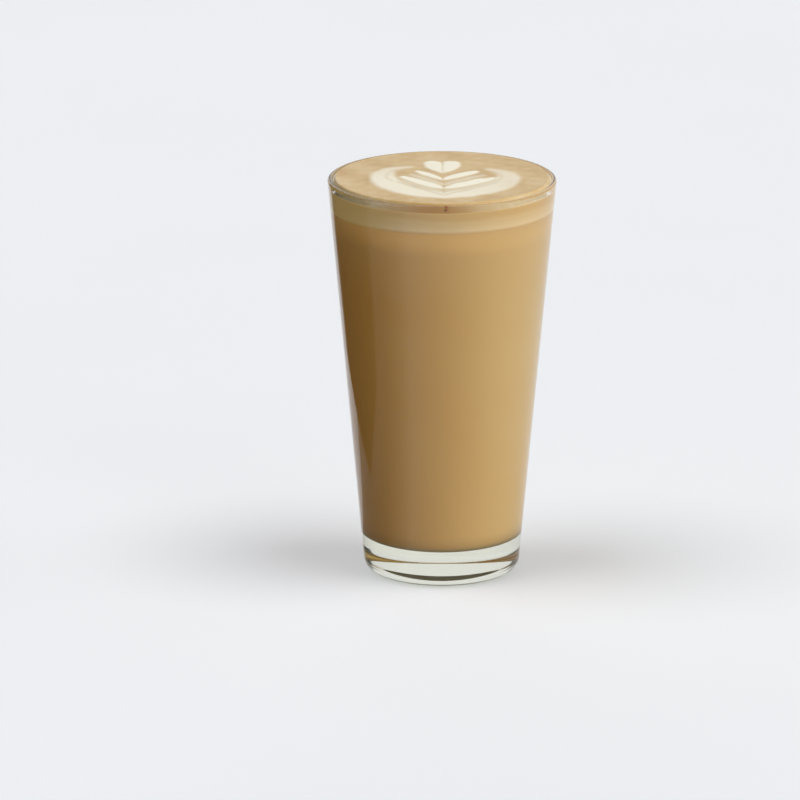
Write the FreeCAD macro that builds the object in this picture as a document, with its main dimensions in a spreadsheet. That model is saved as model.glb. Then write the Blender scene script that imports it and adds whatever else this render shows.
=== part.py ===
import FreeCAD, Part
import math
import os

import Sketcher

# A flat white served in a plain conical tumbler: the glass, the milk coffee in it and
# the layer of fine milk foam on top. Millimetres, +Z up. The origin is the middle of
# the foot, on the surface that the glass stands on.

SIZES = [
    ("glass_height", 125.5, "standing surface to the top of the rim"),
    ("rim_radius", 35.5, "outside of the wall, at the top"),
    ("foot_radius", 24.0, "outside of the wall, carried down to the standing surface"),
    ("rim_wall", 1.6, "thickness of the wall at the rim"),
    ("low_wall", 2.6, "thickness of the wall at the level of the inner floor"),
    ("floor_thickness", 11.1, "standing surface to the inner floor"),
    ("inner_corner", 6.0, "radius between the inner floor and the wall"),
    ("heel_round", 4.4, "radius between the wall and the underside"),
    ("lip_round", 0.75, "radius of the two edges of the rim"),
    ("punt_radius", 18.3, "inside of the ring that the glass stands on"),
    ("punt_depth", 2.4, "height of the hollow inside that ring"),
    ("punt_round", 10.0, "radius of the curve from the ring up into the hollow"),
    ("crown_over_rim", 0.6, "top of the rim up to the middle of the foam"),
    ("crown_rise", 0.2, "how far the foam's top swells, from its shoulder to its middle"),
    ("contact_drop", 2.5, "top of the rim down to where the foam meets the wall"),
    ("roll_width", 3.0, "shoulder of the foam out to where it meets the wall"),
    ("foam_depth", 6.8, "height of the foam layer against the wall"),
]

GEOMETRY_TOLERANCE = 0.01
START, END = 1, 2
ORIGIN = (-1, START)
VERTICAL_AXIS = -2

size = {name: value for name, value, meaning in SIZES}


def make_sheet(document):
    """Put every driving dimension in a sheet, one row each."""
    sheet = document.addObject("Spreadsheet::Sheet", "Sizes")
    for row, (name, value, meaning) in enumerate(SIZES, start=1):
        sheet.set(f"A{row}", name)
        sheet.set(f"B{row}", str(value))
        sheet.set(f"C{row}", meaning)
        sheet.setAlias(f"B{row}", name)
    document.recompute()
    return sheet


def make_body(document, name):
    body = document.addObject("PartDesign::Body", name)
    body.Label = name
    body.Placement = FreeCAD.Placement()
    return body


def make_sketch(body, name):
    """A sketch on the body's own XZ plane: its x is the radius and its y the height."""
    sketch = body.newObject("Sketcher::SketchObject", name)
    for feature in body.Origin.OriginFeatures:
        if feature.Role == "XZ_Plane":
            sketch.AttachmentSupport = (feature, [""])
    sketch.MapMode = "FlatFace"
    return sketch


def point(radius, height):
    return FreeCAD.Vector(radius, height, 0)


def add_line(sketch, start, end, guide=False):
    return sketch.addGeometry(Part.LineSegment(start, end), guide)


def add_arc(sketch, centre, start, end):
    """An arc that runs counterclockwise about centre from start to end."""
    first = start - centre
    last = end - centre
    circle = Part.Circle(centre, FreeCAD.Vector(0, 0, 1), first.Length)
    angles = [math.atan2(arm.y, arm.x) for arm in (first, last)]
    return sketch.addGeometry(Part.ArcOfCircle(circle, *angles), False)


def constrain(sketch, *terms):
    return sketch.addConstraint(Sketcher.Constraint(*terms))


def set_size(sketch, name, kind, terms, expression):
    """Add a distance constraint and bind it to the sheet."""
    value = sketch.evalExpression(expression)
    index = constrain(sketch, kind, *terms, value)
    sketch.renameConstraint(index, name)
    sketch.setExpression(f"Constraints.{name}", expression)


def height_of(sketch, name, geometry, end, expression):
    set_size(sketch, name, "DistanceY", (*ORIGIN, geometry, end), expression)


def radius_of(sketch, name, geometry, end, expression):
    set_size(sketch, name, "DistanceX", (*ORIGIN, geometry, end), expression)


def wall_radius(height):
    """Radius of the glass's inner wall at a height, in numbers, to start a sketch from."""
    slope = (size["rim_radius"] - size["foot_radius"]) / size["glass_height"]
    floor = size["floor_thickness"]
    at_floor = size["foot_radius"] + slope * floor - size["low_wall"]
    at_rim = size["rim_radius"] - size["rim_wall"]
    return at_floor + (at_rim - at_floor) * (height - floor) / (size["glass_height"] - floor)


def add_wall_guides(sketch):
    """Draw both sides of the glass's wall as guide lines; return them, outer then inner."""
    top, floor = size["glass_height"], size["floor_thickness"]
    inner_corner = point(wall_radius(floor), floor)
    outer = add_line(sketch, point(size["foot_radius"], 0), point(size["rim_radius"], top), True)
    inner = add_line(sketch, inner_corner, point(wall_radius(top), top), True)
    across = inner_corner + point(size["low_wall"], 0)
    level = add_line(sketch, inner_corner, across, True)
    height_of(sketch, "foot_level", outer, START, "0")
    radius_of(sketch, "foot_radius", outer, START, "Sizes.foot_radius")
    height_of(sketch, "rim_level", outer, END, "Sizes.glass_height")
    radius_of(sketch, "rim_radius", outer, END, "Sizes.rim_radius")
    constrain(sketch, "Horizontal", inner, END, outer, END)
    set_size(sketch, "rim_wall", "DistanceX", (inner, END, outer, END), "Sizes.rim_wall")
    constrain(sketch, "Coincident", level, START, inner, START)
    constrain(sketch, "Horizontal", level)
    constrain(sketch, "PointOnObject", level, END, outer)
    height_of(sketch, "floor_level", inner, START, "Sizes.floor_thickness")
    set_size(sketch, "low_wall", "DistanceX", (level, START, level, END), "Sizes.low_wall")
    return outer, inner


def revolve(body, sketch, kind="PartDesign::Revolution"):
    feature = body.newObject(kind, f"{body.Name}_{kind.split('::')[1].lower()}")
    feature.Profile = sketch
    feature.ReferenceAxis = (sketch, ["V_Axis"])
    feature.Angle = 360
    body.Document.recompute()
    return feature


def ring_edges(shape, radius, height):
    """Names of the round edges about the axis that have this radius and height."""
    names = []
    for number, edge in enumerate(shape.Edges, start=1):
        if edge.Degenerated or not isinstance(edge.Curve, Part.Circle):
            continue
        same_radius = abs(edge.Curve.Radius - radius) < GEOMETRY_TOLERANCE
        same_height = abs(edge.Curve.Center.z - height) < GEOMETRY_TOLERANCE
        if same_radius and same_height:
            names.append(f"Edge{number}")
    if not names:
        raise RuntimeError(f"no round edge of radius {radius} at height {height}")
    return names


def fillet(body, name, rings, expression):
    """Round the rings, each a radius and a height, of the body's last feature."""
    base = body.Tip
    edges = [edge for ring in rings for edge in ring_edges(base.Shape, *ring)]
    feature = body.newObject("PartDesign::Fillet", name)
    feature.Base = (base, edges)
    feature.setExpression("Radius", expression)
    body.Document.recompute()
    return feature


def make_glass(document):
    """The tumbler: a turned wall and floor, hollowed underneath, with rounded edges."""
    body = make_body(document, "glass")
    top, floor = size["glass_height"], size["floor_thickness"]
    sketch = make_sketch(body, "glass_outline")
    outer, inner = add_wall_guides(sketch)
    corners = [
        point(0, 0),
        point(size["foot_radius"], 0),
        point(size["rim_radius"], top),
        point(wall_radius(top), top),
        point(wall_radius(floor), floor),
        point(0, floor),
    ]
    sides = []
    for start, end in zip(corners, corners[1:] + corners[:1]):
        sides.append(add_line(sketch, start, end))
    for side, following in zip(sides, sides[1:] + sides[:1]):
        constrain(sketch, "Coincident", side, END, following, START)
    underside, outer_wall, lip, inner_wall, inner_floor, axis = sides
    constrain(sketch, "Coincident", underside, START, *ORIGIN)
    constrain(sketch, "Coincident", outer_wall, START, outer, START)
    constrain(sketch, "Coincident", outer_wall, END, outer, END)
    constrain(sketch, "Coincident", inner_wall, START, inner, END)
    constrain(sketch, "Coincident", inner_wall, END, inner, START)
    constrain(sketch, "Horizontal", inner_floor)
    constrain(sketch, "PointOnObject", inner_floor, END, VERTICAL_AXIS)
    revolve(body, sketch)

    solid_foot = body.Tip.Shape.Volume
    hollow = make_sketch(body, "punt_outline")
    reach, rise, turn = size["punt_radius"], size["punt_depth"], size["punt_round"]
    flat = reach - math.sqrt(turn ** 2 - (turn - rise) ** 2)
    base = add_line(hollow, point(0, 0), point(reach, 0))
    curve = add_arc(hollow, point(flat, rise - turn), point(reach, 0), point(flat, rise))
    ceiling = add_line(hollow, point(flat, rise), point(0, rise))
    axis = add_line(hollow, point(0, rise), point(0, 0))
    constrain(hollow, "Coincident", base, END, curve, START)
    constrain(hollow, "Tangent", curve, END, ceiling, START)
    constrain(hollow, "Coincident", ceiling, END, axis, START)
    constrain(hollow, "Coincident", axis, END, base, START)
    constrain(hollow, "Coincident", base, START, *ORIGIN)
    constrain(hollow, "Horizontal", base)
    constrain(hollow, "Horizontal", ceiling)
    constrain(hollow, "Vertical", axis)
    radius_of(hollow, "punt_radius", base, END, "Sizes.punt_radius")
    height_of(hollow, "punt_depth", ceiling, START, "Sizes.punt_depth")
    set_size(hollow, "punt_round", "Radius", (curve,), "Sizes.punt_round")
    revolve(body, hollow, "PartDesign::Groove")
    if body.Tip.Shape.Volume >= solid_foot:
        raise RuntimeError("the hollow under the foot cut nothing")

    fillet(body, "heel", [(size["foot_radius"], 0)], "Sizes.heel_round")
    fillet(body, "inner_floor_corner", [(wall_radius(floor), floor)], "Sizes.inner_corner")
    rim = [(size["rim_radius"], top), (wall_radius(top), top)]
    fillet(body, "lip", rim, "min(Sizes.lip_round; 0.48 * Sizes.rim_wall)")
    return body


def make_milk_coffee(document):
    """The drink: it fills the glass from the inner floor up to the foam."""
    body = make_body(document, "milk_coffee")
    floor = size["floor_thickness"]
    level = size["glass_height"] - size["contact_drop"] - size["foam_depth"]
    sketch = make_sketch(body, "milk_coffee_outline")
    outer, inner = add_wall_guides(sketch)
    bottom = add_line(sketch, point(0, floor), point(wall_radius(floor), floor))
    side = add_line(sketch, point(wall_radius(floor), floor), point(wall_radius(level), level))
    surface = add_line(sketch, point(wall_radius(level), level), point(0, level))
    axis = add_line(sketch, point(0, level), point(0, floor))
    constrain(sketch, "Coincident", bottom, END, side, START)
    constrain(sketch, "Coincident", side, END, surface, START)
    constrain(sketch, "Coincident", surface, END, axis, START)
    constrain(sketch, "Coincident", axis, END, bottom, START)
    constrain(sketch, "Coincident", bottom, END, inner, START)
    constrain(sketch, "Horizontal", bottom)
    constrain(sketch, "Horizontal", surface)
    constrain(sketch, "PointOnObject", side, END, inner)
    constrain(sketch, "PointOnObject", bottom, START, VERTICAL_AXIS)
    constrain(sketch, "PointOnObject", surface, END, VERTICAL_AXIS)
    height_of(sketch, "foam_level", side, END,
              "Sizes.glass_height - Sizes.contact_drop - Sizes.foam_depth")
    revolve(body, sketch)
    fillet(body, "milk_coffee_corner", [(wall_radius(floor), floor)], "Sizes.inner_corner")
    return body


def make_milk_foam(document):
    """The foam: a layer on the drink whose swollen top rolls down to meet the wall."""
    body = make_body(document, "milk_foam")
    crown = size["glass_height"] + size["crown_over_rim"]
    contact = size["glass_height"] - size["contact_drop"]
    level = contact - size["foam_depth"]
    foot_of_roll = point(wall_radius(contact), contact)
    shoulder = point(foot_of_roll.x - size["roll_width"], crown - size["crown_rise"])
    swell = (shoulder.x ** 2 + size["crown_rise"] ** 2) / (2 * size["crown_rise"])
    swell_centre = point(0, crown - swell)
    outward = (shoulder - swell_centre).normalize()
    chord = foot_of_roll - shoulder
    roll_radius = -chord.Length ** 2 / (2 * outward.dot(chord))
    roll_centre = shoulder - outward * roll_radius

    sketch = make_sketch(body, "milk_foam_outline")
    outer, inner = add_wall_guides(sketch)
    bottom = add_line(sketch, point(0, level), point(wall_radius(level), level))
    side = add_line(sketch, point(wall_radius(level), level), foot_of_roll)
    roll = add_arc(sketch, roll_centre, foot_of_roll, shoulder)
    top = add_arc(sketch, swell_centre, shoulder, point(0, crown))
    axis = add_line(sketch, point(0, crown), point(0, level))
    constrain(sketch, "Coincident", bottom, END, side, START)
    constrain(sketch, "Coincident", side, END, roll, START)
    constrain(sketch, "Tangent", roll, END, top, START)
    constrain(sketch, "Coincident", top, END, axis, START)
    constrain(sketch, "Coincident", axis, END, bottom, START)
    constrain(sketch, "Horizontal", bottom)
    constrain(sketch, "PointOnObject", bottom, START, VERTICAL_AXIS)
    constrain(sketch, "PointOnObject", axis, START, VERTICAL_AXIS)
    constrain(sketch, "PointOnObject", top, 3, VERTICAL_AXIS)
    constrain(sketch, "PointOnObject", side, START, inner)
    constrain(sketch, "PointOnObject", side, END, inner)
    height_of(sketch, "crown_level", top, END, "Sizes.glass_height + Sizes.crown_over_rim")
    height_of(sketch, "contact_level", side, END, "Sizes.glass_height - Sizes.contact_drop")
    set_size(sketch, "foam_depth", "DistanceY", (side, START, side, END), "Sizes.foam_depth")
    set_size(sketch, "crown_rise", "DistanceY", (top, START, top, END), "Sizes.crown_rise")
    set_size(sketch, "roll_width", "DistanceX", (roll, END, roll, START), "Sizes.roll_width")
    revolve(body, sketch)
    return body


def check(document, bodies):
    """Stop if any object failed, or if a sub-part is not one whole solid."""
    for item in document.Objects:
        if "Invalid" in item.State or "Error" in item.State:
            raise RuntimeError(f"{item.Label} failed to build: {item.State}")
    for body in bodies:
        if body.Shape.isNull() or not body.Shape.isValid() or len(body.Shape.Solids) != 1:
            raise RuntimeError(f"{body.Label} is not one valid solid")


def main():
    document = FreeCAD.newDocument("flat_white")
    make_sheet(document)
    bodies = [make_glass(document), make_milk_coffee(document), make_milk_foam(document)]
    document.recompute()
    check(document, bodies)
    os.makedirs("parts", exist_ok=True)
    for body in bodies:
        body.Shape.exportStep(f"parts/{body.Label}.step")
        print(body.Label, "volume", round(body.Shape.Volume), "mm3")


main()
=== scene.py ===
import math

import bmesh
import bpy
import numpy as np
from bpy.props import FloatProperty, FloatVectorProperty, PointerProperty
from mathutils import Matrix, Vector


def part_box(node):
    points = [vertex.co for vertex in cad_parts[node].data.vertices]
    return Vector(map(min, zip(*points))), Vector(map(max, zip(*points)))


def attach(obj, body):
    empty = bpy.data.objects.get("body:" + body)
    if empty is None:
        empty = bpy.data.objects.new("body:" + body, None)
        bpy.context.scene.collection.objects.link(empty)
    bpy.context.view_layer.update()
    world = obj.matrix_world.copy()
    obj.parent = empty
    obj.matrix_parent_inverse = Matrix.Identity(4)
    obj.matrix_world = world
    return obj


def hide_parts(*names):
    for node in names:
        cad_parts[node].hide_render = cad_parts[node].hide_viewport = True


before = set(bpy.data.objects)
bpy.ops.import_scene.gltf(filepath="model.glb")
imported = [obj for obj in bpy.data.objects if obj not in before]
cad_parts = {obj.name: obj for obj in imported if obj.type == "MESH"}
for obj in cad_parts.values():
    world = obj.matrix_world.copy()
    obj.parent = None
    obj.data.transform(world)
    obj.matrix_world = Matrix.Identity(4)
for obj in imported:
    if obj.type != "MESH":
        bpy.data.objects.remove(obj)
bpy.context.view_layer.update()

bl_info = {
    "name": "Flat White",
    "version": (1, 0, 0),
    "blender": (4, 5, 0),
    "location": "View3D > Sidebar > Flat White",
    "description": "A flat white in a conical tumbler, with a leaf poured on its foam",
    "category": "Add Mesh",
}

MM = 0.001
METRE_DECIMALS = 5  # corners nearer than a hundredth of a millimetre count as one
BODY = "root"


# Sizes that come from the frame ----------------------------------------------------------


def rings_of(node):
    """Every different radius and height among a turned node's corners, as two arrays."""
    corners = np.array([vertex.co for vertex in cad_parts[node].data.vertices])
    pairs = np.column_stack([np.hypot(corners[:, 0], corners[:, 1]), corners[:, 2]])
    pairs = np.unique(np.round(pairs, METRE_DECIMALS), axis=0)
    return pairs[:, 0], pairs[:, 1]


def widest_ring(node):
    radii, heights = rings_of(node)
    return radii.max(), heights[radii.argmax()]


RIM_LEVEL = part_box("glass")[1].z
CENTRE_LEVEL = RIM_LEVEL / 2
FLOOR_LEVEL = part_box("milk_coffee")[0].z
CROWN_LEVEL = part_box("milk_foam")[1].z
DRINK_RADIUS, DRINK_LEVEL = widest_ring("milk_coffee")
CONTACT_RADIUS, CONTACT_LEVEL = widest_ring("milk_foam")
WALL_SLOPE = (CONTACT_RADIUS - DRINK_RADIUS) / (CONTACT_LEVEL - DRINK_LEVEL)


def wall_radius(height):
    """Radius of the glass's inner wall at a height."""
    return DRINK_RADIUS + WALL_SLOPE * (height - DRINK_LEVEL)


# The foam's top swells a little towards its middle and rolls down to the wall. The roll is
# narrower here than on the frame's foam.
CROWN_RISE = 0.2 * MM
ROLL_WIDTH = 0.8 * MM
SHOULDER_RADIUS = CONTACT_RADIUS - ROLL_WIDTH
SHOULDER_LEVEL = CROWN_LEVEL - CROWN_RISE
ROLL_DROP = SHOULDER_LEVEL - CONTACT_LEVEL


def roll_reach(height):
    """Radius of the foam's rolled edge, a quarter of an ellipse, at a height."""
    turn = math.acos(1 - (SHOULDER_LEVEL - height) / ROLL_DROP)
    return SHOULDER_RADIUS + ROLL_WIDTH * math.sin(turn)


def foam_top(swell_rings, roll_rings):
    """Radii and heights of the foam's top, from its middle out and down to the wall."""
    out = np.linspace(0, 1, swell_rings + 1)
    places = list(zip(out * SHOULDER_RADIUS, CROWN_LEVEL - CROWN_RISE * out ** 2))
    for turn in np.linspace(0, math.pi / 2, roll_rings + 1)[1:]:
        places.append((SHOULDER_RADIUS + ROLL_WIDTH * math.sin(turn),
                       SHOULDER_LEVEL - ROLL_DROP * (1 - math.cos(turn))))
    return places


# Colours and nodes -----------------------------------------------------------------------

def linear(colour):
    """An sRGB hex colour, such as #c8a070, as linear red, green and blue."""
    channels = [int(colour[i:i + 2], 16) / 255 for i in (1, 3, 5)]
    return tuple(c / 12.92 if c <= 0.04045 else ((c + 0.055) / 1.055) ** 2.4 for c in channels)


def opaque(colour):
    return (*colour, 1.0)


def per_metre(feature_mm):
    """Texture scale at which a pattern's features have this size in millimetres."""
    return 1 / (feature_mm * MM)


def add_node(tree, kind, inputs=None, **settings):
    """Add a node with its settings; each input takes a value or another node's output."""
    node = tree.nodes.new(kind)
    for name, value in settings.items():
        setattr(node, name, value)
    for socket, value in (inputs or {}).items():
        if isinstance(value, bpy.types.NodeSocket):
            tree.links.new(value, node.inputs[socket])
        else:
            node.inputs[socket].default_value = value
    return node


def new_material(name):
    """An empty node material; return it with its node tree."""
    material = bpy.data.materials.new(name)
    material.use_nodes = True
    material.node_tree.nodes.clear()
    return material, material.node_tree


def set_ramp(node, stops):
    """Give a Color Ramp its stops, each a place and a linear colour."""
    elements = node.color_ramp.elements
    while len(elements) > 1:
        elements.remove(elements[-1])
    elements[0].position, elements[0].color = stops[0][0], opaque(stops[0][1])
    for place, colour in stops[1:]:
        elements.new(place).color = opaque(colour)


# Meshes ----------------------------------------------------------------------------------

def add_piece(name, mesh, slot, *nodes):
    """Put a finished mesh in the scene as a piece that rides on the one body."""
    piece = bpy.data.objects.new(name, mesh)
    bpy.context.scene.collection.objects.link(piece)
    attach(piece, BODY)
    if nodes:
        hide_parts(*nodes)
    return piece


def turned_mesh(name, profile, segments):
    """Turn a profile of radii and heights about the axis; it starts and ends on the axis."""
    angles = np.linspace(0, 2 * math.pi, segments, endpoint=False)
    rings = np.array(profile[1:-1])
    x = np.outer(rings[:, 0], np.cos(angles))
    y = np.outer(rings[:, 0], np.sin(angles))
    z = np.repeat(rings[:, 1:], segments, axis=1)
    corners = np.stack([x, y, z], axis=-1).reshape(-1, 3).tolist()
    first, last = len(corners), len(corners) + 1
    corners += [(0, 0, profile[0][1]), (0, 0, profile[-1][1])]
    faces = []
    for step in range(segments):
        onward = (step + 1) % segments
        for ring in range(len(rings) - 1):
            low, high = ring * segments, (ring + 1) * segments
            faces.append((low + step, low + onward, high + onward, high + step))
        faces.append((first, onward, step))
        end = (len(rings) - 1) * segments
        faces.append((end + step, end + onward, last))
    mesh = bpy.data.meshes.new(name)
    mesh.from_pydata(corners, [], faces)
    mesh.shade_smooth()
    for face in mesh.polygons:
        face.use_smooth = len(face.vertices) == 4
    return mesh


def rounded(before, corner, after, size, steps):
    """Points on the arc that rounds a corner between its two neighbours."""
    before, corner, after = (np.array(place[:2]) for place in (before, corner, after))
    back = (before - corner) / np.linalg.norm(before - corner)
    onward = (after - corner) / np.linalg.norm(after - corner)
    half = math.acos(np.clip(back @ onward, -1, 1)) / 2
    middle = (back + onward) / np.linalg.norm(back + onward)
    centre = corner + middle * size / math.sin(half)
    first = corner + back * size / math.tan(half) - centre
    last = corner + onward * size / math.tan(half) - centre
    turn = np.linspace(0, 1, steps + 1)[:, None]
    swept = math.pi - 2 * half
    return centre + (np.sin((1 - turn) * swept) * first + np.sin(turn * swept) * last
                     ) / math.sin(swept)


def spread_out(places, most):
    """Add points so that no two neighbours are further apart than most."""
    filled = [places[0]]
    for start, end in zip(places, places[1:]):
        pieces = max(1, math.ceil(math.dist(start, end) / most))
        for piece in range(1, pieces + 1):
            filled.append(tuple(np.array(start) + (np.array(end) - start) * piece / pieces))
    return filled


def vertex_array(mesh):
    places = np.empty(len(mesh.vertices) * 3)
    mesh.vertices.foreach_get("co", places)
    return places.reshape(-1, 3)


# Poured milk -----------------------------------------------------------------------------
# Each stroke is the line that the milk's stream drew on the crema: points across and back
# from the middle of the surface, with half the stroke's width, in millimetres.

HEART = [
    [(-2.9, 17.3, 2.7), (-2.5, 13.1, 2.8), (-1.4, 8.9, 1.9), (-0.1, 5.0, 0.4)],
    [(2.9, 17.3, 2.7), (2.6, 13.1, 2.8), (1.6, 8.9, 1.9), (0.2, 5.0, 0.4)],
]
LEAVES = [
    [(-7.6, 6.6, 0.9), (-5.9, 4.4, 1.5), (-3.7, 1.4, 1.6), (-1.6, -1.6, 1.4), (0.1, -4.2, 0.5)],
    [(10.4, 6.4, 1.1), (8.4, 4.4, 1.8), (5.4, 1.6, 1.9), (2.5, -1.5, 1.6), (0.6, -4.2, 0.5)],
    [(-11.9, -0.6, 1.2), (-9.6, -3.6, 2.0), (-6.2, -7.6, 2.3), (-2.6, -11.8, 2.0),
     (0.2, -14.8, 0.7)],
    [(15.4, -2.0, 1.3), (12.8, -4.4, 2.1), (8.8, -7.8, 2.3), (4.2, -11.8, 2.1),
     (0.9, -14.8, 0.7)],
]
RING = [
    [(0.4, -23.2, 3.8), (-8.0, -18.6, 4.9), (-14.6, -11.4, 4.9), (-17.8, -3.6, 4.2),
     (-18.2, 3.2, 3.4), (-16.6, 8.2, 2.5), (-13.4, 11.2, 1.6), (-9.8, 12.2, 0.8)],
    [(0.8, -23.2, 3.8), (9.0, -19.0, 4.9), (16.2, -12.2, 4.9), (19.8, -4.2, 4.2),
     (20.2, 2.0, 3.2), (18.2, 6.6, 2.3), (14.6, 9.4, 1.2)],
]
PARTINGS = [
    [(-13.8, -6.4, 0.3), (-10.6, -10.6, 0.6), (-6.2, -15.8, 0.7), (-2.6, -19.9, 0.6),
     (0.2, -22.6, 0.4)],
    [(17.0, -7.0, 0.3), (12.2, -12.2, 0.6), (7.2, -17.0, 0.7), (3.2, -20.6, 0.6),
     (0.9, -22.6, 0.4)],
    [(-14.6, 8.0, 0.1), (-16.9, 4.2, 0.2), (-17.2, -1.0, 0.2), (-15.4, -6.0, 0.1)],
    [(16.4, 5.4, 0.1), (18.4, 1.0, 0.2), (17.8, -4.0, 0.1)],
]
BEDS = [
    [(-9.2, 2.6, 0.5), (-7.0, -0.6, 1.0), (-4.4, -4.4, 1.2), (-1.6, -8.2, 1.2),
     (0.1, -10.0, 0.8)],
    [(12.6, 2.2, 0.5), (9.6, -0.8, 1.1), (6.0, -4.2, 1.3), (2.8, -7.8, 1.3), (0.7, -10.0, 0.8)],
    [(-13.2, -3.6, 0.5), (-10.4, -7.6, 1.0), (-6.4, -12.4, 1.2), (-2.8, -16.4, 1.2),
     (0.1, -18.8, 1.0)],
    [(16.6, -4.6, 0.5), (12.4, -8.8, 1.1), (7.8, -12.8, 1.3), (3.4, -16.6, 1.3),
     (0.8, -18.8, 1.0)],
]
STEM = [(0.0, 17.0, 0.2), (0.2, 10.0, 0.3), (0.3, 2.0, 0.3), (0.5, -8.0, 0.35),
        (0.5, -16.0, 0.4), (0.6, -22.0, 0.2)]
STROKE_SAMPLES = 14
# Share of milk in each kind of stroke; the rest is crema.
HEART_MILK, LEAF_MILK, RING_MILK, BED_MILK = 0.92, 0.98, 0.84, 0.8
# Depth of each kind of furrow, and how much milk it takes off what it crosses.
STEM_FURROW, PARTING_FURROW, BED_FURROW = 0.45, 0.6, 0.85
STEM_LOSS, PARTING_LOSS = 0.15, 0.25


def along(points):
    """Points on the smooth line through a stroke's points, by Catmull and Rom's formula."""
    points = np.array(points)
    padded = np.vstack([2 * points[0] - points[1], points, 2 * points[-1] - points[-2]])
    t = np.linspace(0, 1, STROKE_SAMPLES, endpoint=False)[:, None]
    spans = []
    for a, b, c, d in zip(padded, padded[1:], padded[2:], padded[3:]):
        spans.append(0.5 * (2 * b + (c - a) * t + (2 * a - 5 * b + 4 * c - d) * t ** 2
                            + (3 * b - a - 3 * c + d) * t ** 3))
    return np.vstack(spans + [points[-1:]])


def outside(x, y, strokes):
    """How far each place lies outside the nearest stroke; less than nothing is inside."""
    nearest = np.full(x.shape, np.inf)
    for stroke in strokes:
        for across, back, half_width in along(stroke):
            nearest = np.minimum(nearest, np.hypot(x - across, y - back) - half_width)
    return nearest


def covered(distance, softness):
    """1 well inside an edge, 0 well outside, with a soft step as wide as softness."""
    t = np.clip(0.5 - distance / softness, 0, 1)
    return t * t * (3 - 2 * t)


def swirl(x, y, size, seed):
    """A smooth wandering value between -1 and 1 whose features have this size."""
    random = np.random.default_rng(seed)
    value = np.zeros_like(x)
    waves, headroom = 6, 1.5
    for heading, phase in random.uniform(0, 2 * math.pi, (waves, 2)):
        stretch = 2 * math.pi / size * random.uniform(0.7, 1.4)
        value += np.sin((x * math.cos(heading) + y * math.sin(heading)) * stretch + phase)
    return value / waves ** 0.5 / headroom


def poured_milk(x, y):
    """How milky each place on the surface is, and how deep its furrow, from 0 to 1. The
    strokes' edges wander by a few tenths of a millimetre, and the ring fades to the right
    and towards its open end at the back."""
    x = x + 0.22 * swirl(x, y, 9, seed=3) + 0.06 * swirl(x, y, 3, seed=4)
    y = y + 0.30 * swirl(x, y, 9, seed=5) + 0.08 * swirl(x, y, 3, seed=6)
    heart = covered(outside(x, y, HEART), softness=1.6)
    leaves = covered(outside(x, y, LEAVES), softness=1.5)
    ring = covered(outside(x, y, RING), softness=2.6)
    strokes = np.maximum(heart, leaves)
    bed = covered(outside(x, y, BEDS), softness=3.4)
    partings = covered(outside(x, y, PARTINGS), softness=2.0)
    stem = covered(outside(x, y, [STEM]), softness=1.1)
    faded = 0.16 * np.clip((x - 6) / 14, 0, 1) + 0.34 * np.clip((y + 2) / 16, 0, 1)
    milk = np.maximum.reduce([heart * HEART_MILK, leaves * LEAF_MILK,
                              ring * (RING_MILK - faded), bed * BED_MILK])
    lines = np.maximum(STEM_FURROW * stem, PARTING_FURROW * partings)
    furrow = np.clip(lines + bed * (1 - strokes) * BED_FURROW, 0, 1)
    return milk * (1 - STEM_LOSS * stem) * (1 - PARTING_LOSS * partings), furrow


# Materials -------------------------------------------------------------------------------

def soda_lime_glass(settings):
    """Pressed and fire-polished soda-lime glass: clear, bright at grazing angles, with a
    faint grey-green cast where it is thick and a slow unevenness from the mould. Light
    that only falls through it to what it holds passes straight."""
    material, tree = new_material("soda_lime_glass")
    place = add_node(tree, "ShaderNodeTexCoord")
    unevenness = add_node(tree, "ShaderNodeTexNoise", {
        "Vector": place.outputs["Object"], "Scale": per_metre(14), "Detail": 1.0})
    bump = add_node(tree, "ShaderNodeBump", {
        "Strength": 0.35, "Distance": settings.unevenness,
        "Height": unevenness.outputs["Fac"]})
    glass = add_node(tree, "ShaderNodeBsdfPrincipled", {
        "Base Color": opaque(linear("#fdfefc")), "Roughness": 0.0, "IOR": 1.52,
        "Transmission Weight": 1.0, "Normal": bump.outputs["Normal"]})
    straight = add_node(tree, "ShaderNodeBsdfTransparent", {
        "Color": opaque(linear("#f6f8f4"))})
    path = add_node(tree, "ShaderNodeLightPath")
    lighting = add_node(tree, "ShaderNodeMath", {
        0: path.outputs["Is Shadow Ray"], 1: path.outputs["Is Diffuse Ray"]},
        operation="MAXIMUM")
    surface = add_node(tree, "ShaderNodeMixShader", {
        0: lighting.outputs[0], 1: glass.outputs[0], 2: straight.outputs[0]})
    tint = add_node(tree, "ShaderNodeVolumeAbsorption", {
        "Color": opaque(settings.tint), "Density": settings.tint_density})
    add_node(tree, "ShaderNodeOutputMaterial", {
        "Surface": surface.outputs[0], "Volume": tint.outputs[0]})
    return material


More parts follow.
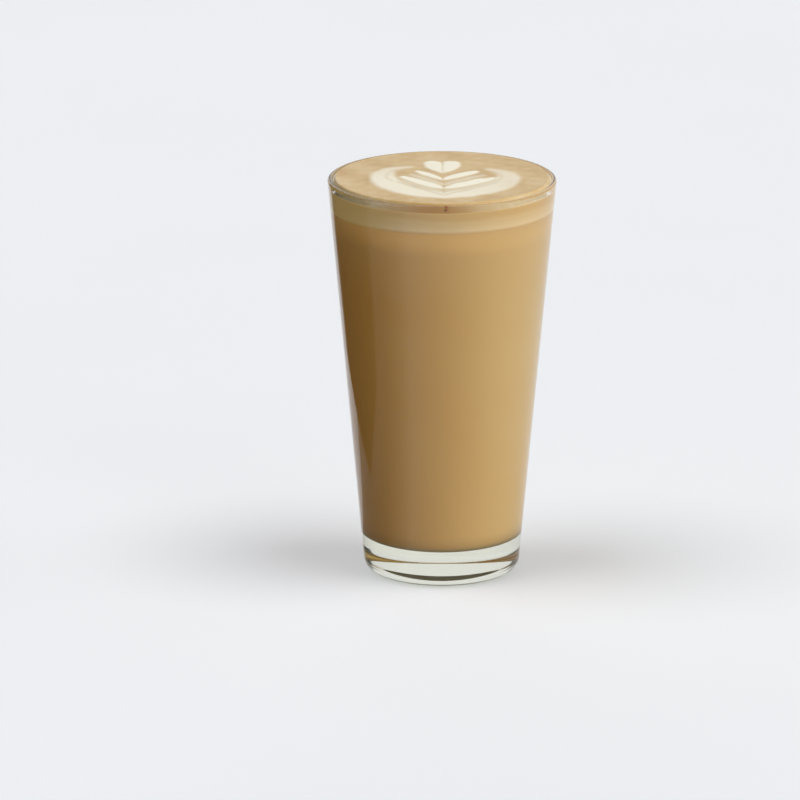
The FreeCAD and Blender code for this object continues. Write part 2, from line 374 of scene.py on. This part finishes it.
def milk_coffee(settings):
    """Steamed milk with espresso: opaque brown with faint clouds. It has no gloss of its
    own, because no air lies between it and the glass. It runs from a deeper brown at the
    left to a paler one at the right, and turns paler towards the foam and greyer at its
    foot. These runs are shading drawn in colour, which stays when the lights change."""
    pale_depth, grey_depth = 24 * MM, 2.0 * MM
    most_pale, cloud_share, right_share = 0.5, 0.16, 0.84
    material, tree = new_material("milk_coffee")
    place = add_node(tree, "ShaderNodeTexCoord")
    axes = add_node(tree, "ShaderNodeSeparateXYZ", {0: place.outputs["Object"]})
    clouds = add_node(tree, "ShaderNodeTexNoise", {
        "Vector": place.outputs["Object"], "Scale": per_metre(22), "Detail": 4.0,
        "Roughness": 0.55, "Distortion": 0.4})
    # Painted shade and light: the colour runs from a deeper brown at the left to a paler one at
    # the right.
    across = add_node(tree, "ShaderNodeMapRange", {
        "Value": axes.outputs["X"], "From Min": -DRINK_RADIUS, "From Max": DRINK_RADIUS,
        "To Min": 0.0, "To Max": right_share})
    uneven = add_node(tree, "ShaderNodeMath", {
        0: clouds.outputs["Fac"], 1: cloud_share, 2: across.outputs[0]},
        operation="MULTIPLY_ADD")
    colour = add_node(tree, "ShaderNodeValToRGB", {0: uneven.outputs[0]})
    set_ramp(colour, [(0.1, settings.deep_colour), (0.5, settings.colour),
                      (0.85, settings.pale_colour)])
    settled = add_node(tree, "ShaderNodeMapRange", {
        "Value": axes.outputs["Z"], "From Min": DRINK_LEVEL - pale_depth,
        "From Max": DRINK_LEVEL, "To Min": 0.0, "To Max": most_pale})
    layered = add_node(tree, "ShaderNodeMix", {
        0: settled.outputs[0], 6: colour.outputs[0], 7: opaque(settings.top_colour)},
        data_type="RGBA")
    # Painted shade: the drink turns greyer in its lowest two millimetres.
    below = add_node(tree, "ShaderNodeMapRange", {
        "Value": axes.outputs["Z"], "From Min": FLOOR_LEVEL,
        "From Max": FLOOR_LEVEL + grey_depth, "To Min": 1.0, "To Max": 0.0})
    shaded = add_node(tree, "ShaderNodeMix", {
        0: below.outputs[0], 6: layered.outputs[2], 7: opaque(settings.underside_colour)},
        data_type="RGBA")
    liquid = add_node(tree, "ShaderNodeBsdfPrincipled", {
        "Base Color": shaded.outputs[2], "Roughness": 0.5, "IOR": 1.34,
        "Specular IOR Level": 0.0})
    add_node(tree, "ShaderNodeOutputMaterial", {"Surface": liquid.outputs[0]})
    return material


def foam_against_glass(settings, drink_colour):
    """Fine milk foam pressed against the wall: matt, pale tan, with bubbles too small to
    tell apart, drawn here as a grain of half a millimetre so that it shows. It takes on the
    drink's colour at its foot, and is paler at its left end, which is shading drawn in
    colour too."""
    drift_share, grain_share, foot_share = 0.35, 0.18, 0.14
    pale_from, pale_to = -0.4 * DRINK_RADIUS, -0.95 * DRINK_RADIUS
    material, tree = new_material("foam_against_glass")
    place = add_node(tree, "ShaderNodeTexCoord")
    axes = add_node(tree, "ShaderNodeSeparateXYZ", {0: place.outputs["Object"]})
    grain = add_node(tree, "ShaderNodeTexNoise", {
        "Vector": place.outputs["Object"], "Scale": per_metre(0.5), "Detail": 2.0})
    drifts = add_node(tree, "ShaderNodeTexNoise", {
        "Vector": place.outputs["Object"], "Scale": per_metre(9), "Detail": 3.0})
    height = add_node(tree, "ShaderNodeMapRange", {
        "Value": axes.outputs["Z"], "From Min": DRINK_LEVEL, "From Max": CONTACT_LEVEL})
    spread = add_node(tree, "ShaderNodeMath", {
        0: drifts.outputs["Fac"], 1: drift_share, 2: height.outputs[0]},
        operation="MULTIPLY_ADD")
    speckled = add_node(tree, "ShaderNodeMath", {
        0: grain.outputs["Fac"], 1: grain_share, 2: spread.outputs[0]},
        operation="MULTIPLY_ADD")
    colour = add_node(tree, "ShaderNodeValToRGB", {0: speckled.outputs[0]})
    set_ramp(colour, [(0.2, settings.side_low_colour), (0.75, settings.side_colour),
                      (5 / 6, settings.side_colour), (1.0, settings.side_high_colour)])
    settled = add_node(tree, "ShaderNodeMapRange", {
        "Value": height.outputs[0], "From Min": 0.0, "From Max": foot_share})
    blended = add_node(tree, "ShaderNodeMix", {
        0: settled.outputs[0], 6: opaque(drink_colour), 7: colour.outputs[0]},
        data_type="RGBA")
    # Painted light: the foam is paler towards its left end.
    across = add_node(tree, "ShaderNodeMapRange", {
        "Value": axes.outputs["X"], "From Min": pale_from, "From Max": pale_to})
    shaded = add_node(tree, "ShaderNodeMix", {
        0: across.outputs[0], 6: blended.outputs[2], 7: opaque(settings.side_painted_light_colour)},
        data_type="RGBA")
    foam = add_node(tree, "ShaderNodeBsdfPrincipled", {
        "Base Color": shaded.outputs[2], "Roughness": 0.6, "IOR": 1.34,
        "Specular IOR Level": 0.0})
    add_node(tree, "ShaderNodeOutputMaterial", {"Surface": foam.outputs[0]})
    return material


def crema_and_milk(settings):
    """The wet top of the foam: brown crema, with steamed milk poured into it. Both are
    opaque with a soft wet sheen. The pores are drawn as coarse as 0.35 mm so that they
    show. The rolled edge carries painted shade, darkest near the front, and painted
    light, paler crema, further round."""
    material, tree = new_material("crema_and_poured_milk")
    place = add_node(tree, "ShaderNodeTexCoord")
    milk = add_node(tree, "ShaderNodeAttribute", attribute_name="milk")
    furrow = add_node(tree, "ShaderNodeAttribute", attribute_name="furrow")
    crema_tone_and_light = add_node(tree, "ShaderNodeAttribute", attribute_name="crema_tone_and_light")
    edge = add_node(tree, "ShaderNodeAttribute", attribute_name="edge")
    clouds = add_node(tree, "ShaderNodeTexNoise", {
        "Vector": place.outputs["Object"], "Scale": per_metre(6), "Detail": 5.0,
        "Roughness": 0.6, "Distortion": 0.8})
    shade = add_node(tree, "ShaderNodeMath", {
        0: clouds.outputs["Fac"], 1: 0.5, 2: crema_tone_and_light.outputs["Fac"]}, operation="MULTIPLY_ADD")
    crema = add_node(tree, "ShaderNodeValToRGB", {0: shade.outputs[0]})
    set_ramp(crema, [(0.25, settings.crema_pale), (0.6, settings.crema),
                     (0.95, settings.crema_deep)])
    # Painted shade: the rolled edge takes the darker edge colour.
    rolled = add_node(tree, "ShaderNodeMix", {
        0: edge.outputs["Fac"], 6: crema.outputs[0], 7: opaque(settings.crema_edge_shade)},
        data_type="RGBA")
    pores = add_node(tree, "ShaderNodeTexVoronoi", {
        "Vector": place.outputs["Object"], "Scale": per_metre(0.35)})
    lines = add_node(tree, "ShaderNodeMix", {
        0: furrow.outputs["Fac"], 6: opaque(settings.milk), 7: opaque(settings.furrow)},
        data_type="RGBA")
    surface = add_node(tree, "ShaderNodeMix", {
        0: milk.outputs["Fac"], 6: rolled.outputs[2], 7: lines.outputs[2]},
        data_type="RGBA")
    bump = add_node(tree, "ShaderNodeBump", {
        "Strength": 0.25, "Distance": 0.05 * MM, "Height": pores.outputs["Distance"]})
    foam = add_node(tree, "ShaderNodeBsdfPrincipled", {
        "Base Color": surface.outputs[2], "Roughness": 0.42, "IOR": 1.34,
        "Normal": bump.outputs["Normal"]})
    add_node(tree, "ShaderNodeOutputMaterial", {"Surface": foam.outputs[0]})
    return material


def bubble_skin():
    """The film of a popped coffee bubble: thin, wet, dark brown and glossy."""
    material, tree = new_material("coffee_bubble_skin")
    place = add_node(tree, "ShaderNodeTexCoord")
    mottle = add_node(tree, "ShaderNodeTexNoise", {
        "Vector": place.outputs["Object"], "Scale": per_metre(0.4), "Detail": 2.0})
    colour = add_node(tree, "ShaderNodeValToRGB", {0: mottle.outputs["Fac"]})
    set_ramp(colour, [(0.3, linear("#6a3c0c")), (0.7, linear("#9c6420"))])
    film = add_node(tree, "ShaderNodeBsdfPrincipled", {
        "Base Color": colour.outputs[0], "Roughness": 0.2, "IOR": 1.34})
    add_node(tree, "ShaderNodeOutputMaterial", {"Surface": film.outputs[0]})
    return material


def seen_directly(tree):
    """1 where the eye, a mirror image or a view through glass falls on a surface."""
    path = add_node(tree, "ShaderNodeLightPath")
    mirrored = add_node(tree, "ShaderNodeMath", {
        0: path.outputs["Is Glossy Ray"], 1: path.outputs["Is Transmission Ray"]},
        operation="MAXIMUM")
    seen = add_node(tree, "ShaderNodeMath", {
        0: path.outputs["Is Camera Ray"], 1: mirrored.outputs[0]}, operation="MAXIMUM")
    return seen.outputs[0]


def studio_floor(settings):
    """Matt white painted board, faintly uneven. It throws less light up at the glass than
    it shows to the eye, so that the base and the drink's foot don't glow."""
    material, tree = new_material("white_painted_board")
    place = add_node(tree, "ShaderNodeTexCoord")
    drift = add_node(tree, "ShaderNodeTexNoise", {
        "Vector": place.outputs["Object"], "Scale": per_metre(180), "Detail": 2.0})
    colour = add_node(tree, "ShaderNodeValToRGB", {0: drift.outputs["Fac"]})
    darker = tuple(0.985 * channel for channel in settings.floor)
    set_ramp(colour, [(0.3, darker), (0.7, tuple(settings.floor))])
    shown = add_node(tree, "ShaderNodeBsdfDiffuse", {"Color": colour.outputs[0]})
    thrown = add_node(tree, "ShaderNodeBsdfDiffuse", {
        "Color": opaque(settings.floor_bounce)})
    board = add_node(tree, "ShaderNodeMixShader", {
        0: seen_directly(tree), 1: thrown.outputs[0], 2: shown.outputs[0]})
    add_node(tree, "ShaderNodeOutputMaterial", {"Surface": board.outputs[0]})
    return material


def black_card(name, depth, clear_at, full_at):
    """Nearly black card that fades out towards the camera and, more slowly, at its far end.
    Each fade lies between two places, given as how far behind the glass they are for each
    step aside; less than nothing is in front of it."""
    fades_at, gone_at = 0.7, 1.1
    material, tree = new_material(name)
    place = add_node(tree, "ShaderNodeTexCoord")
    axes = add_node(tree, "ShaderNodeSeparateXYZ", {0: place.outputs["Object"]})
    aside = add_node(tree, "ShaderNodeMath", {0: axes.outputs["X"]}, operation="ABSOLUTE")
    forward = add_node(tree, "ShaderNodeMath", {
        0: axes.outputs["Y"], 1: aside.outputs[0]}, operation="DIVIDE")
    near = add_node(tree, "ShaderNodeMapRange", {
        "Value": forward.outputs[0], "From Min": clear_at, "From Max": full_at,
        "To Min": 0.0, "To Max": depth})
    far = add_node(tree, "ShaderNodeMapRange", {
        "Value": forward.outputs[0], "From Min": fades_at, "From Max": gone_at,
        "To Min": 1.0, "To Max": 0.0})
    fade = add_node(tree, "ShaderNodeMath", {
        0: near.outputs[0], 1: far.outputs[0]}, operation="MULTIPLY")
    card = add_node(tree, "ShaderNodeBsdfDiffuse", {"Color": opaque(linear("#34352c"))})
    clear = add_node(tree, "ShaderNodeBsdfTransparent")
    edge = add_node(tree, "ShaderNodeMixShader", {
        0: fade.outputs[0], 1: clear.outputs[0], 2: card.outputs[0]})
    add_node(tree, "ShaderNodeOutputMaterial", {"Surface": edge.outputs[0]})
    return material


# Settings --------------------------------------------------------------------------------

def colour_setting(name, description, colour):
    return FloatVectorProperty(name=name, description=description, subtype="COLOR",
                               min=0, max=1, default=linear(colour))


class GlassSettings(bpy.types.PropertyGroup):
    tint: colour_setting("Tint", "Cast of the glass where it is thick", "#eff0df")
    tint_density: FloatProperty(
        name="Tint density", description="How quickly thick glass takes the tint",
        default=20.0, min=0)
    unevenness: FloatProperty(
        name="Unevenness", description="Height of the slow waves left by the mould",
        default=0.01 * MM, min=0, unit="LENGTH")


class DrinkSettings(bpy.types.PropertyGroup):
    colour: colour_setting("Colour", "Milk coffee in the middle", "#ba8f4d")
    # Painted shade and light: the deep colour at the left, the pale colour at the right and the
    # underside colour at the foot.
    deep_colour: colour_setting("Deep colour", "Milk coffee at the left", "#b6803e")
    pale_colour: colour_setting("Pale colour", "Milk coffee at the right", "#c0a068")
    top_colour: colour_setting("Top colour", "Milk coffee just below the foam", "#c29a62")
    underside_colour: colour_setting("Underside", "Milk coffee at its foot", "#9a8a5e")
    wall_bite: FloatProperty(
        name="Wall bite", description="How far the contents reach into the glass",
        default=0.12 * MM, min=0, unit="LENGTH")


class FoamSettings(bpy.types.PropertyGroup):
    milk: colour_setting("Milk", "Steamed milk poured on top", "#f2edd8")
    furrow: colour_setting("Furrow", "Thin lines between the poured strokes", "#d6ccb0")
    crema: colour_setting("Crema", "Brown top of the foam", "#c9ac79")
    crema_pale: colour_setting("Pale crema", "Paler clouds in the crema", "#d5bf97")
    crema_deep: colour_setting("Deep crema", "Darker clouds in the crema", "#b9965f")
    # Painted shade: this colour darkens the rolled edge near the front.
    crema_edge_shade: colour_setting("Crema edge", "Rolled edge, near the front", "#a06e18")
    side_colour: colour_setting("Side", "Foam seen through the wall", "#cbab77")
    side_low_colour: colour_setting("Low side", "Foam next to the drink", "#d9be92")
    # Painted light: this colour lightens the foam at its left end.
    side_painted_light_colour: colour_setting("Pale side", "Foam at the left end", "#e0ba78")
    side_high_colour: colour_setting("High side", "Foam just below its edge", "#c49f66")
    relief: FloatProperty(
        name="Relief", description="How far the poured milk stands above its furrows",
        default=0.16 * MM, min=0, unit="LENGTH")


class StageSettings(bpy.types.PropertyGroup):
    floor: colour_setting("Floor", "Painted board that the glass stands on", "#f1f3f6")
    floor_bounce: colour_setting("Floor bounce", "Light the board throws back up", "#b4b4b6")
    backdrop: colour_setting("Backdrop", "Pale background", "#eeeef2")
    ambient: FloatProperty(
        name="Ambient", description="Light that the backdrop throws", default=0.06, min=0)
    key_light: FloatProperty(
        name="Key light", description="Soft low light in front, on the right",
        default=0.61, min=0)
    side_light: FloatProperty(
        name="Side light", description="Soft low light on the right", default=0.32, min=0)
    right_top_light: FloatProperty(
        name="Right top light", description="High light on the right", default=0.34, min=0)
    left_top_light: FloatProperty(
        name="Left top light", description="High light on the left", default=0.36, min=0)
    back_light: FloatProperty(
        name="Back light", description="Soft low light behind the glass", default=0.34, min=0)
    camera_distance: FloatProperty(
        name="Camera distance", description="Level distance from the glass's axis",
        default=2.42, min=0.5, unit="LENGTH")
    camera_height: FloatProperty(
        name="Camera height", description="Height of the lens above the floor",
        default=0.734, min=0, unit="LENGTH")


# Operators -------------------------------------------------------------------------------

class FLATWHITE_OT_glass(bpy.types.Operator):
    """Give the tumbler its clear glass"""
    bl_idname = "flat_white.glass"
    bl_label = "Glass"

    segments = 360
    # In millimetres: the hollow under the foot, then the radius, height and rounding of each
    # corner from the foot ring to the inner floor, and the middle of that floor.
    hollow_height, hollow_flat, hollow_round, hollow_steps = 2.4, 11.801, 10.0, 24
    corners = [(18.3, 0, 0.3), (24.0, 0, 4.4), (35.5, 125.5, 0.75), (33.9, 125.5, 0.75),
               (22.418, 11.1, 6.0)]
    middle = (0, 11.1)
    longest_step = 2.5

    def execute(self, context):
        places = [(0, self.hollow_height)]
        last = math.acos(1 - self.hollow_height / self.hollow_round)
        for turn in np.linspace(0, last, self.hollow_steps, endpoint=False):
            places.append((self.hollow_flat + self.hollow_round * math.sin(turn),
                           self.hollow_height - self.hollow_round * (1 - math.cos(turn))))
        ends = [places[-1], *self.corners, self.middle]
        for before, corner, after in zip(ends, ends[1:], ends[2:]):
            steps = 8 + round(4 * corner[2])
            places += [tuple(p) for p in rounded(before, corner, after, corner[2], steps)]
        places = spread_out(places + [self.middle], self.longest_step)
        profile = [(radius * MM, height * MM) for radius, height in places]
        mesh = turned_mesh("glass_piece", profile, self.segments)
        mesh.materials.append(soda_lime_glass(context.scene.flat_white_glass))
        add_piece("glass_piece", mesh, "clear_glass", "glass")
        return {"FINISHED"}


class FLATWHITE_OT_milk_coffee(bpy.types.Operator):
    """Fill the glass with milk coffee, up to the foam"""
    bl_idname = "flat_white.milk_coffee"
    bl_label = "Milk coffee"

    segments = 256
    corner_height = 6 * MM
    on_axis = 0.1 * MM

    def execute(self, context):
        settings = context.scene.flat_white_drink
        radii, heights = rings_of("milk_coffee")
        order = np.lexsort((radii, heights))
        outline = [(radius, height) for radius, height in zip(radii[order], heights[order])
                   if radius > self.on_axis]
        bite = settings.wall_bite
        profile = [(0, FLOOR_LEVEL - bite)]
        for radius, height in outline:
            share = max(0, 1 - (height - FLOOR_LEVEL) / self.corner_height)
            profile.append((radius + bite, height - bite * share))
        profile.append((0, DRINK_LEVEL))
        mesh = turned_mesh("milk_coffee_piece", profile, self.segments)
        mesh.materials.append(milk_coffee(settings))
        add_piece("milk_coffee_piece", mesh, "milk_coffee", "milk_coffee")
        return {"FINISHED"}


class FLATWHITE_OT_milk_foam(bpy.types.Operator):
    """Lay the foam on the drink and pour the leaf on it"""
    bl_idname = "flat_white.milk_foam"
    bl_label = "Milk foam"

    segments = 540
    swell_rings = 110
    roll_rings = 24
    side_step = 0.6 * MM
    foot_level = DRINK_LEVEL - 0.3 * MM
    foot_bite_share = 0.6
    # The painted shade on the rolled edge: its middle's heading and its reach to each side,
    # in degrees, and how much of it stays elsewhere.
    dark_heading, dark_reach, least_dark = -4, 25, 0.15

    def execute(self, context):
        settings, drink = context.scene.flat_white_foam, context.scene.flat_white_drink
        bite = drink.wall_bite
        profile = foam_top(self.swell_rings, self.roll_rings)
        profile[-1] = (CONTACT_RADIUS + bite, CONTACT_LEVEL)
        depth = CONTACT_LEVEL - DRINK_LEVEL
        steps = round(depth / self.side_step)
        for step in range(1, steps + 1):
            height = CONTACT_LEVEL - depth * step / steps
            profile.append((wall_radius(height) + bite, height))
        foot_radius = wall_radius(DRINK_LEVEL) + self.foot_bite_share * bite
        profile += [(foot_radius, self.foot_level), (0, self.foot_level)]
        profile.reverse()
        mesh = turned_mesh("milk_foam_piece", profile, self.segments)
        self.pour(mesh, settings)
        mesh.materials.append(crema_and_milk(settings))
        mesh.materials.append(foam_against_glass(settings, drink.top_colour))
        for face in mesh.polygons:
            face.material_index = int(face.center.z < CONTACT_LEVEL - 0.01 * MM)
        add_piece("milk_foam_piece", mesh, "milk_foam", "milk_foam")
        return {"FINISHED"}

    def pour(self, mesh, settings):
        """Raise the poured milk over its furrows, and store what the material needs at each
        corner: how milky it is, its furrow, the crema's random shifts with the painted light on
        the roll, and the painted shade of the rolled edge."""
        corners = vertex_array(mesh)
        x, y = corners[:, 0] / MM, corners[:, 1] / MM
        radius = np.hypot(corners[:, 0], corners[:, 1])
        on_top = corners[:, 2] > CONTACT_LEVEL + 0.05 * MM
        rolled = np.clip(3 * (SHOULDER_LEVEL - corners[:, 2]) / ROLL_DROP, 0, 1)
        turn = np.degrees(np.arctan2(corners[:, 0], -corners[:, 1]))
        dark = np.exp(-((turn - self.dark_heading) / self.dark_reach) ** 2)
        milk, furrow = poured_milk(x, y)
        away = np.clip((CONTACT_RADIUS - radius) / (4 * MM), 0, 1)
        ripple = 0.06 * swirl(x, y, 4, seed=8) + 0.05 * swirl(x, y, 11, seed=9)
        lift = settings.relief * (milk - 0.9 * furrow * milk + ripple) * away
        corners[:, 2] += np.where(on_top, lift - settings.relief * away, 0)
        mesh.vertices.foreach_set("co", corners.ravel())
        # Random shifts in the crema, made paler on the roll away from the front: painted light.
        crema_tone_and_light = 0.38 + 0.15 * swirl(x, y, 16, seed=11) + 0.07 * swirl(x, y, 5, seed=12)
        crema_tone_and_light -= 0.4 * rolled * (1 - dark)
        # Painted shade: the rolled edge darkens most where it faces the front, and a little all
        # round.
        rolled *= (self.least_dark + (1 - self.least_dark) * dark
                   + 0.08 * swirl(x, y, 14, seed=13))
        values = {"milk": milk, "furrow": furrow, "crema_tone_and_light": crema_tone_and_light, "edge": rolled}
        for name, value in values.items():
            attribute = mesh.attributes.new(name, "FLOAT", "POINT")
            attribute.data.foreach_set("value", value.astype(np.float32))
        mesh.update()


class FLATWHITE_OT_bubble(bpy.types.Operator):
    """Set the coffee bubble on the foam's front edge"""
    bl_idname = "flat_white.bubble"
    bl_label = "Bubble"

    across, below_rim = 1.3 * MM, 1.35 * MM
    radius = 0.6 * MM

    def execute(self, context):
        height = RIM_LEVEL - self.below_rim
        reach = roll_reach(height)
        centre = Vector((self.across, -math.sqrt(reach ** 2 - self.across ** 2), height))
        build = bmesh.new()
        bmesh.ops.create_icosphere(build, subdivisions=3, radius=self.radius)
        for vertex in build.verts:
            vertex.co += centre
        mesh = bpy.data.meshes.new("coffee_bubble")
        build.to_mesh(mesh)
        build.free()
        mesh.shade_smooth()
        mesh.materials.append(bubble_skin())
        add_piece("coffee_bubble", mesh, "milk_foam")
        return {"FINISHED"}


class FLATWHITE_OT_stage(bpy.types.Operator):
    """Set the floor, the backdrop, the lights and the camera"""
    bl_idname = "flat_white.stage"
    bl_label = "Stage"

    floor_reach = 30.0
    floor_gap = 0.05 * MM
    # The camera looks a little left of the glass's middle and below it.
    sensor_mm, lens_mm = 36.0, 363.0
    aim_across, aim_up = -0.0130, -0.00855
    # Each lamp, named as its setting: heading right of the camera, elevation and spread in
    # degrees, and whether it casts a shadow.
    lamps = [
        ("side_light", 86, 10, 40, False),
        ("key_light", 38, 14, 45, False),
        ("back_light", 190, 8, 50, False),
        ("right_top_light", 70, 68, 30, True),
        ("left_top_light", -78, 66, 36, True),
    ]

    def execute(self, context):
        settings = context.scene.flat_white_stage
        self.add_floor(settings)
        self.set_world(context.scene, settings)
        for name, *placing in self.lamps:
            self.add_light(name, getattr(settings, name), *placing)
        self.add_cards()
        self.add_camera(context.scene, settings)
        return {"FINISHED"}

    def add_floor(self, settings):
        build = bmesh.new()
        bmesh.ops.create_circle(build, cap_ends=True, segments=96, radius=self.floor_reach)
        mesh = bpy.data.meshes.new("floor")
        build.to_mesh(mesh)
        build.free()
        mesh.materials.append(studio_floor(settings))
        floor = bpy.data.objects.new("floor", mesh)
        floor.location.z = -self.floor_gap
        bpy.context.scene.collection.objects.link(floor)

    def set_world(self, scene, settings):
        world = bpy.data.worlds.new("studio")
        world.use_nodes = True
        tree = world.node_tree
        tree.nodes.clear()
        colour = opaque(settings.backdrop)
        ambient = add_node(tree, "ShaderNodeBackground", {
            "Color": colour, "Strength": settings.ambient})
        backdrop = add_node(tree, "ShaderNodeBackground", {"Color": colour, "Strength": 1.0})
        both = add_node(tree, "ShaderNodeMixShader", {
            0: seen_directly(tree), 1: ambient.outputs[0], 2: backdrop.outputs[0]})
        add_node(tree, "ShaderNodeOutputWorld", {"Surface": both.outputs[0]})
        scene.world = world

    def add_light(self, name, strength, heading, elevation, spread, casts):
        """A soft light that falls evenly everywhere, from a heading right of the camera.
        The low lights cast no shadow, so that the floor keeps only the high lights' own."""
        data = bpy.data.lights.new(name, "SUN")
        data.use_shadow = casts
        data.energy = strength * math.pi
        data.angle = math.radians(spread)
        light = bpy.data.objects.new(name, data)
        across, up = math.radians(heading), math.radians(elevation)
        towards = Vector((math.sin(across) * math.cos(up), -math.cos(across) * math.cos(up),
                          math.sin(up)))
        light.location = towards
        light.rotation_euler = towards.to_track_quat("Z", "Y").to_euler()
        light.visible_transmission = False
        light.visible_glossy = False
        bpy.context.scene.collection.objects.link(light)

    def add_cards(self):
        """Two dark cards stand beside the glass: its wall mirrors the left one as a dark
        strip, and its base shows both as dark corners. A faint one lies on the floor."""
        dark = black_card("black_card", depth=1.0, clear_at=-0.28, full_at=-0.18)
        faint = black_card("grey_card", depth=0.42, clear_at=-1.4, full_at=-0.45)
        self.add_card("left_card", -1, (95, 180),
                      [(70, 38, 170), (98, 2, 170), (133, 45, 170)], dark)
        self.add_card("right_card", 1, (95, 180), [(70, 2, 60), (133, 2, 60)], dark,
                      mirrored=False)
        self.add_card("floor_card", -1, (40, 420),
                      [(30, 0.5, 1), (75, 0.5, 1), (125, 0.5, 1)], faint, seen_through=False)

    def add_card(self, name, side, reach, outline, material, mirrored=True, seen_through=True):
        """A card that only glass and gloss show. Reach is its nearest and furthest distance
        from the axis, and outline its lowest and highest level, both in millimetres, at
        headings in degrees away from the camera's; a side of -1 is the left."""
        build = bmesh.new()
        for heading, low, high in outline:
            a = math.radians(heading)
            for away in reach:
                for height in (low, high):
                    place = (side * away * math.sin(a), -away * math.cos(a), height)
                    build.verts.new(Vector(place) * MM)
        bmesh.ops.convex_hull(build, input=build.verts)
        mesh = bpy.data.meshes.new(name)
        build.to_mesh(mesh)
        build.free()
        mesh.materials.append(material)
        card = bpy.data.objects.new(name, mesh)
        bpy.context.scene.collection.objects.link(card)
        card.visible_camera = False
        card.visible_shadow = False
        card.visible_diffuse = False
        card.visible_glossy = mirrored
        card.visible_transmission = seen_through

    def add_camera(self, scene, settings):
        data = bpy.data.cameras.new("camera")
        data.sensor_width = self.sensor_mm
        data.lens = self.lens_mm
        camera = bpy.data.objects.new("camera", data)
        camera.location = (0, -settings.camera_distance, settings.camera_height)
        aim = Vector((0, 0, CENTRE_LEVEL)) + Vector((self.aim_across, 0, self.aim_up))
        camera.rotation_euler = (aim - camera.location).to_track_quat("-Z", "Y").to_euler()
        scene.collection.objects.link(camera)
        scene.camera = camera


class FLATWHITE_PT_panel(bpy.types.Panel):
    """Lists the pieces and their settings"""
    bl_idname = "FLATWHITE_PT_panel"
    bl_label = "Flat White"
    bl_space_type = "VIEW_3D"
    bl_region_type = "UI"
    bl_category = "Flat White"

    def draw(self, context):
        for operator in OPERATORS:
            self.layout.operator(operator.bl_idname)
        for name, group in SETTINGS.items():
            box = self.layout.box()
            for field in group.__annotations__:
                box.prop(getattr(context.scene, name), field)


SETTINGS = {
    "flat_white_glass": GlassSettings,
    "flat_white_drink": DrinkSettings,
    "flat_white_foam": FoamSettings,
    "flat_white_stage": StageSettings,
}
OPERATORS = [
    FLATWHITE_OT_glass,
    FLATWHITE_OT_milk_coffee,
    FLATWHITE_OT_milk_foam,
    FLATWHITE_OT_bubble,
    FLATWHITE_OT_stage,
]


def register():
    for item in (*SETTINGS.values(), *OPERATORS, FLATWHITE_PT_panel):
        bpy.utils.register_class(item)
    for name, group in SETTINGS.items():
        setattr(bpy.types.Scene, name, PointerProperty(type=group))


def unregister():
    for name in SETTINGS:
        delattr(bpy.types.Scene, name)
    for item in (FLATWHITE_PT_panel, *reversed(OPERATORS), *SETTINGS.values()):
        bpy.utils.unregister_class(item)


def main():
    register()
    bpy.context.scene.view_settings.view_transform = "Standard"
    bpy.ops.flat_white.glass()
    bpy.ops.flat_white.milk_coffee()
    bpy.ops.flat_white.milk_foam()
    bpy.ops.flat_white.bubble()
    bpy.ops.flat_white.stage()


if __name__ == "__main__":
    main()
